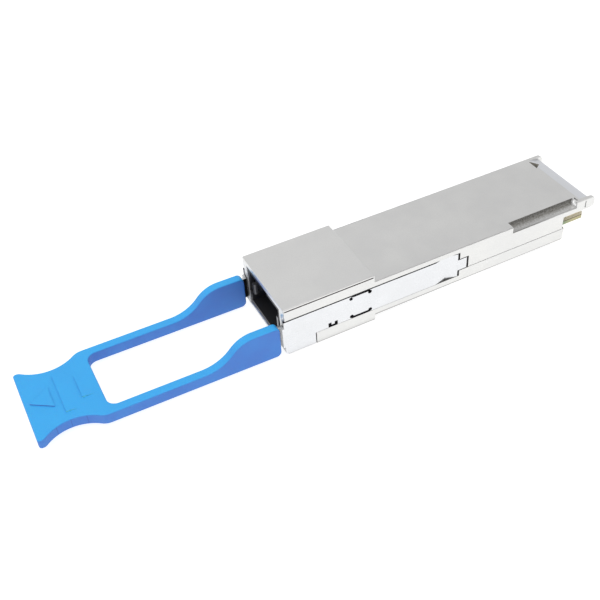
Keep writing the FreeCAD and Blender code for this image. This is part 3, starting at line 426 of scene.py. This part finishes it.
def moulded(name, colour, roughness, grain=0.09, depth=0.004, coat=0.0):
    """Moulded plastic with a fine spark-eroded texture."""
    g = Graph(name)
    fine = g.noise(grain, 3, 0.6)
    clouds = g.noise(4.0)
    g.set(color=g.mix(g.ramp(clouds, *WIDE), faded(colour, 0.85), colour),
          roughness=g.ramp(fine, *WIDE, roughness - 0.05, roughness + 0.05),
          specular=0.5,
          coat=coat,
          normal=g.bump(fine, depth, 0.5, g.soft_edges(0.08)))
    return g.material


TAB_LINES = (-63.7, -60.9, -58.1)   # places of painted shade lines on the upright faces in the grip's hollows
TAB_LINE_HALF = 0.07


def tab_finish():
    """Blue moulded elastomer with a fine matt skin; painted light makes it lighter where it faces
    up, with painted highlights on its edges and painted light and shade on its marks.
    """
    g = Graph("tab_blue")
    fine = g.noise(0.07, 3, 0.65)
    pores = g.cells(0.16)
    clouds = g.noise(7.0)
    # painted light: paler where the faces look up, darker on the sides
    base = g.mix(g.ramp(g.facing("Z"), 0.2, 0.95), TONES["tab_side"], TONES["tab_top_lit"])
    base = g.mix(g.ramp(clouds, *MIDDLE, 0.0, 0.2), base, TONES["tab_cloud"])

    # painted shade lines on the upright faces in the grip's hollows
    upright = g.under(g.math("ABSOLUTE", g.facing("Z")), 0.5)
    lines = 0.0
    for place in TAB_LINES:
        line = g.math("COMPARE", g.at("Y"), place * MM, TAB_LINE_HALF * MM)
        lines = g.either(lines, line)
    base = g.mix(g.times(g.times(upright, lines), 0.6), base, TONES["tab_line"])

    # painted light on the marks' ends facing out, painted shade on their upright fronts
    marks = g.times(g.zone("grip_marks"), g.over(g.facing("Z"), -0.5))
    ends = g.times(marks, g.over(g.facing("X"), 0.85))
    fronts = g.times(g.times(marks, upright), g.under(g.facing("X"), 0.85))
    base = g.mix(fronts, g.mix(ends, base, TONES["mark_end_lit"]), TONES["mark_front_shaded"])

    relief = g.math("ADD", fine, g.times(pores, 0.5))
    # painted highlight along the edges
    g.set(color=g.mix(g.times(g.edge_mask(0.14), 0.22), base, TONES["tab_edge_highlight"]),
          roughness=g.ramp(fine, *WIDE, 0.44, 0.56),
          specular=0.45,
          subsurface=0.05,
          subsurface_scale=0.0008,
          normal=g.bump(relief, 0.004, 0.45, g.soft_edges(0.05)))
    return g.material


BARE_FROM_Y = 46.3             # the card has no solder mask from here to its end
EDGE_GREEN_Y = (45.5, 48.5)    # its cut edges turn from green to bare laminate
RIM_Z = 3.75                   # above this its cut edges are dark


def board_finish():
    """Green solder mask on the faces, woven laminate on the cut edges."""
    g = Graph("board_green")
    weave = g.add("ShaderNodeTexWave", wave_type="BANDS", bands_direction="Z")
    g.put(weave.inputs["Vector"], g.place)
    weave.inputs["Scale"].default_value = 900
    weave.inputs["Distortion"].default_value = 1.5
    laminate = g.mix(weave.outputs["Fac"], TONES["laminate_dark"], TONES["laminate_light"])
    laminate = g.mix(g.ramp(g.at("Y"), *mm(*EDGE_GREEN_Y)), TONES["laminate_green"], laminate)
    rim = g.over(g.at("Z"), RIM_Z * MM)
    laminate = g.mix(g.times(rim, 0.8), laminate, TONES["board_rim"])

    mask = g.mix(g.ramp(g.noise(1.2, 4), 0.4, 0.6), TONES["mask_dark"], TONES["mask_light"])
    mask = g.mix(g.over(g.at("Y"), BARE_FROM_Y * MM), mask, TONES["board_bare"])

    flat = g.ramp(g.math("ABSOLUTE", g.facing("Z")), 0.6, 0.9)
    g.set(color=g.mix(flat, laminate, mask),
          roughness=g.ramp(flat, 0, 1, 0.6, 0.28),
          specular=0.5,
          normal=g.bump(g.noise(0.25, 2), 0.004, 0.4))
    return g.material


FINISHES = {
    "housing_metal": plated("nickel_cast", (0.80, 0.80, 0.785), (0.76, 0.76, 0.75)),
    "plate_metal": plated("nickel_plate", (0.80, 0.80, 0.785), (0.77, 0.77, 0.76)),
    "slider_steel": rolled("slider_sheet", (0.775, 0.785, 0.80), 0.30, places=slider_places),
    "tab_plastic": tab_finish(),
    "spring_steel": rolled("spring_wire", (0.62, 0.62, 0.62), 0.25),
    "port_plastic": moulded("port_black", (0.022, 0.022, 0.024), 0.45),
    "hook_plastic": moulded("hook_dark", (0.07, 0.07, 0.075), 0.28, coat=0.3),
    "gasket_rubber": moulded("gasket_grey", (0.09, 0.09, 0.09), 0.7),
    "ferrule_plastic": moulded("ferrule_resin", (0.09, 0.09, 0.10), 0.35),
    "pin_steel": rolled("pin_ground", (0.72, 0.72, 0.71), 0.18, along=(0.05, 1, 0.05)),
    "ribbon_plastic": moulded("ribbon_clear", (0.78, 0.72, 0.5), 0.3),
    "lens_plastic": moulded("lens_amber", (0.70, 0.45, 0.15), 0.1, depth=0.0005, coat=0.5),
    "carrier_ceramic": moulded("carrier_white", (0.75, 0.75, 0.72), 0.5),
    "chip_bare": moulded("die_grey", (0.16, 0.17, 0.22), 0.12, depth=0.0005),
    "chip_package": moulded("package_black", (0.028, 0.028, 0.03), 0.5),
    "capacitor_ceramic": moulded("capacitor_tan", (0.45, 0.30, 0.17), 0.4),
    "thermal_pad": moulded("gap_filler", (0.40, 0.46, 0.56), 0.8, grain=0.2),
    "board_laminate": board_finish(),
    "contact_gold": rolled("hard_gold", (0.95, 0.78, 0.48), 0.3),
    "screw_steel": rolled("screw_nickel", (0.70, 0.70, 0.69), 0.28, along=(1, 1, 1)),
    "label_film": moulded("label_white", (0.86, 0.86, 0.85), 0.45, depth=0.001),
}


# ---- pieces ----

def paint(obj, slot):
    obj.data.materials.clear()
    obj.data.materials.append(FINISHES[slot])


def body_for(node):
    bodies = record["behaviour"]["bodies"]
    return next(body for body, members in bodies.items() if node in members)


def built(name, mesh_name, bm):
    """An object of the scene from a finished bmesh."""
    mesh = bpy.data.meshes.new(mesh_name)
    bm.to_mesh(mesh)
    bm.free()
    obj = bpy.data.objects.new(name, mesh)
    scene.collection.objects.link(obj)
    return obj


def shade(obj, degrees):
    """Smooth shading, but for edges sharper than the angle."""
    obj.data.shade_smooth()
    obj.data.set_sharp_from_angle(angle=math.radians(degrees))


JOIN_DISTANCE = 1e-6      # metres
FLAT_DEGREES = 1.0
SHARP_DEGREES = 40


def softened(node, width, pick, segments=3):
    """A copy of a CAD node's shape whose picked outer edges are rounded, standing for it."""
    bm = bmesh.new()
    bm.from_mesh(nodes[node].data)
    bmesh.ops.remove_doubles(bm, verts=bm.verts, dist=JOIN_DISTANCE)
    bmesh.ops.dissolve_limit(bm, angle_limit=math.radians(FLAT_DEGREES),
                             verts=bm.verts, edges=bm.edges)
    chosen = [edge for edge in bm.edges
              if len(edge.link_faces) == 2 and edge.is_convex
              and edge.calc_face_angle(0) >= math.radians(SHARP_DEGREES) and pick(edge)]
    bmesh.ops.bevel(bm, geom=chosen, offset=width * MM, offset_type="OFFSET",
                    segments=segments, profile=0.5, affect="EDGES", clamp_overlap=False)
    obj = built(f"{node}_finish", f"{node}_mesh", bm)
    paint(obj, SLOTS[node])
    shade(obj, degrees=50)
    level = obj.modifiers.new("level", "WEIGHTED_NORMAL")
    level.mode = "FACE_AREA"
    level.weight = 100
    level.keep_sharp = True
    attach(obj, body_for(node))
    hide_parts(node)


for node, obj in nodes.items():
    paint(obj, SLOTS[node])


# The pick functions below choose edges by the place of their middle, in millimetres.
SIDE_X = 9.17            # edges further out than this lie on the side faces
PLATE_CORNER_X = 9.1
PLATE_CORNER_Y = 19.3
BODY_START_Y = 0.1       # behind the nose
BODY_TOP_Z = (7.85, 8.6)
KEY_FLOOR_Z = 7.05
SAME_HEIGHT = 0.01
EAR_END_Y = 51.95
COVER_FRONT_Y = -19.39
COVER_FRONT_Z = 7.3
HOUSING_REAR_Y = 44.0
HOUSING_CORNER_Y = 45.0
HOUSING_CORNER_Z = 2.8
SLIDER_UNDER_Z = -1.39
GRIP_MARKS_Y = (-66.9, -55.5)
GRIP_MARKS_X = 5.3
TAB_LUG_X = (7.4, 8.7)
TAB_LUG_Y = -28.0
TAB_LUG_Z = 5.0
LOOKS_UP = 0.9           # a face normal's z above this looks up
LOOKS_DOWN = -0.6


def placed(edge):
    """An edge's middle, in millimetres."""
    return (edge.verts[0].co + edge.verts[1].co) / 2 / MM


def looks_up(edge):
    """Whether one of an edge's two faces looks up."""
    return max(face.normal.z for face in edge.link_faces) > LOOKS_UP


def plate_edges(edge):
    """The rim of the nose plate's top, and its two upright front corners."""
    middle = placed(edge)
    corner = abs(middle.y) > PLATE_CORNER_Y and abs(middle.x) > PLATE_CORNER_X
    return looks_up(edge) or corner


def cover_edges(edge):
    """The cover's outer edges: along its top and its rabbet, round its ears and at its front."""
    middle = placed(edge)
    if middle.y > EAR_END_Y:
        return True
    if abs(middle.x) <= SIDE_X:
        return False
    low, high = BODY_TOP_Z
    along_top = looks_up(edge) and middle.y > BODY_START_Y and low < middle.z < high
    on_rabbet = abs(middle.z - KEY_FLOOR_Z) < SAME_HEIGHT
    at_front = middle.y < COVER_FRONT_Y and middle.z > COVER_FRONT_Z
    return along_top or on_rabbet or at_front


def housing_edges(edge):
    """The bottom housing's outer edges: along its underside and round its rear end."""
    middle = placed(edge)
    under = min(face.normal.z for face in edge.link_faces) < LOOKS_DOWN
    side = abs(middle.x) > SIDE_X
    rear_corner = side and middle.y > HOUSING_CORNER_Y and middle.z < HOUSING_CORNER_Z
    under_rear = under and middle.y > HOUSING_REAR_Y
    return under and side or rear_corner or under_rear


def slider_edges(edge):
    """The two bends along the slider's plate."""
    middle = placed(edge)
    return abs(middle.x) > SIDE_X and middle.z < SLIDER_UNDER_Z


def tab_edges(edge):
    """The tab's own edges, not those of the marks on its grip or of its lugs in the slider."""
    middle = placed(edge)
    first, last = GRIP_MARKS_Y
    on_grip = first < middle.y < last and abs(middle.x) < GRIP_MARKS_X
    low, high = TAB_LUG_X
    on_lug = low < abs(middle.x) < high and middle.y > TAB_LUG_Y and middle.z < TAB_LUG_Z
    return not on_grip and not on_lug


softened("nose_plate", 0.22, plate_edges)
softened("top_cover", 0.2, cover_edges)
softened("bottom_housing", 0.25, housing_edges)
softened("latch_slider", 0.35, slider_edges, segments=4)
softened("pull_tab", 0.28, tab_edges)


COIL_TURNS = 13
COIL_RINGS = 18          # rings of the wire in one turn
WIRE = 0.14 * MM
WIRE_SIDES = 8


def coil(name, node):
    """A fine compression spring in place of the CAD tube."""
    low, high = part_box(node)
    middle = (low + high) / 2
    radius = (high.x - low.x) / 2 - WIRE / 2
    length = high.y - low.y - WIRE
    steps = COIL_RINGS * COIL_TURNS
    rise = length / COIL_TURNS / (2 * math.pi)
    bm = bmesh.new()
    rings = []
    for step in range(steps + 1):
        angle = 2 * math.pi * step / COIL_RINGS
        out = Vector((math.cos(angle), 0, math.sin(angle)))
        centre = Vector((middle.x + radius * math.cos(angle),
                         low.y + WIRE / 2 + length * step / steps,
                         middle.z + radius * math.sin(angle)))
        along = Vector((-radius * math.sin(angle), rise, radius * math.cos(angle)))
        up = along.normalized().cross(out)
        turns = [2 * math.pi * side / WIRE_SIDES for side in range(WIRE_SIDES)]
        rings.append([bm.verts.new(centre + (out * math.cos(turn) + up * math.sin(turn)) * WIRE / 2)
                      for turn in turns])
    for first, second in zip(rings, rings[1:]):
        for side in range(WIRE_SIDES):
            after = (side + 1) % WIRE_SIDES
            bm.faces.new((first[side], first[after], second[after], second[side]))
    bm.faces.new(rings[0])
    bm.faces.new(reversed(rings[-1]))
    bmesh.ops.recalc_face_normals(bm, faces=bm.faces)
    obj = built(name, f"{name}_mesh", bm)
    paint(obj, "spring_steel")
    shade(obj, degrees=60)
    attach(obj, "module")
    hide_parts(node)
    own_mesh(obj)


coil("coil_right", "return_spring_right")
coil("coil_left", "return_spring_left")


FIBRES = 12
FIBRE_PITCH = 0.25 * MM
FIBRE_RADIUS = 0.0625 * MM
FIBRE_SIDES = 12
FIBRE_PROUD = 0.006 * MM     # how far the polished ends stand before the ferrule
FIBRE_FOOT = 0.01 * MM       # how far each disc reaches back into it


def fibre_ends():
    """The polished ends of the twelve fibres, in a row between the guide pins."""
    low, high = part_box("mt_ferrule")
    middle_z = (low.z + high.z) / 2
    angles = [2 * math.pi * side / FIBRE_SIDES for side in range(FIBRE_SIDES)]
    bm = bmesh.new()
    for number in range(FIBRES):
        x = (number - (FIBRES - 1) / 2) * FIBRE_PITCH
        ring, foot = ([bm.verts.new((x + FIBRE_RADIUS * math.cos(a), y,
                                     middle_z + FIBRE_RADIUS * math.sin(a))) for a in angles]
                      for y in (low.y - FIBRE_PROUD, low.y + FIBRE_FOOT))
        bm.faces.new(ring)
        for side in range(FIBRE_SIDES):
            after = (side + 1) % FIBRE_SIDES
            bm.faces.new((ring[side], ring[after], foot[after], foot[side]))
    bmesh.ops.recalc_face_normals(bm, faces=bm.faces)
    obj = built("fibre_ends", "fibre_ends_mesh", bm)
    paint(obj, "carrier_ceramic")
    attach(obj, "module")


fibre_ends()


# ---- floor, light and camera ----

FLOOR_HALF = 3.0
FLOOR_DROP = 0.00005         # metres between the part's lowest point and the floor
LAMP_TARGET = Vector((0, -0.005, 0.004))
SKY_STOPS = ((0.0, 1.0), (0.25, 0.80), (0.65, 0.66), (1.0, 0.9))   # height, brightness
SKY_BLUE = 1.01              # the blue channel's share over the others
SKY_STRENGTH = 0.95


def floor_plane():
    half, z = FLOOR_HALF, cad_box[0].z - FLOOR_DROP
    mesh = bpy.data.meshes.new("floor_mesh")
    mesh.from_pydata([(-half, -half, z), (half, -half, z), (half, half, z), (-half, half, z)],
                     [], [(0, 1, 2, 3)])
    floor = bpy.data.objects.new("floor", mesh)
    scene.collection.objects.link(floor)
    g = Graph("floor_white")
    g.set(color=(0.4, 0.4, 0.4), roughness=0.9, specular=0.0)
    g.shader.inputs["Emission Color"].default_value = (1, 1, 1, 1)
    g.shader.inputs["Emission Strength"].default_value = 0.84
    floor.data.materials.append(g.material)


def sky():
    """A pale studio dome, brightest at the horizon."""
    world = bpy.data.worlds.new("studio")
    scene.world = world
    world.use_nodes = True
    tree = world.node_tree
    tree.nodes.clear()
    out = tree.nodes.new("ShaderNodeOutputWorld")
    background = tree.nodes.new("ShaderNodeBackground")
    coords = tree.nodes.new("ShaderNodeTexCoord")
    split = tree.nodes.new("ShaderNodeSeparateXYZ")
    ramp = tree.nodes.new("ShaderNodeValToRGB")
    tree.links.new(coords.outputs["Generated"], split.inputs[0])
    tree.links.new(split.outputs["Z"], ramp.inputs["Fac"])
    tree.links.new(ramp.outputs["Color"], background.inputs["Color"])
    tree.links.new(background.outputs[0], out.inputs["Surface"])
    while len(ramp.color_ramp.elements) < len(SKY_STOPS):
        ramp.color_ramp.elements.new(0.5)
    for element, (height, value) in zip(ramp.color_ramp.elements, SKY_STOPS):
        element.position = height
        element.color = (value, value, value * SKY_BLUE, 1)
    background.inputs["Strength"].default_value = SKY_STRENGTH


def lamp(name, where, size, power):
    """A square soft box turned to the part."""
    data = bpy.data.lights.new(name, "AREA")
    data.shape = "RECTANGLE"
    data.size = data.size_y = size
    data.energy = power
    light = bpy.data.objects.new(name, data)
    scene.collection.objects.link(light)
    light.location = where
    light.rotation_euler = (LAMP_TARGET - Vector(where)).to_track_quat("-Z", "Y").to_euler()


def camera():
    data = bpy.data.cameras.new("camera")
    data.sensor_width = 36
    data.lens = 55.304
    data.clip_start = 0.01
    data.clip_end = 20
    cam = bpy.data.objects.new("camera", data)
    scene.collection.objects.link(cam)
    cam.location = mm(123.601, -66.029, 124.782)
    cam.rotation_euler = Euler([math.radians(a) for a in (47.6613, 3.5050, 63.1011)], "XYZ")
    scene.camera = cam


floor_plane()
sky()
lamp("overhead", where=(0.05, -0.15, 0.6), size=0.5, power=0.8)
lamp("key", where=(0.35, -0.5, 0.35), size=0.35, power=0.2)
lamp("sheen", where=(-0.45, 0.12, 0.42), size=0.3, power=0.04)
camera()
scene.view_settings.view_transform = "Standard"
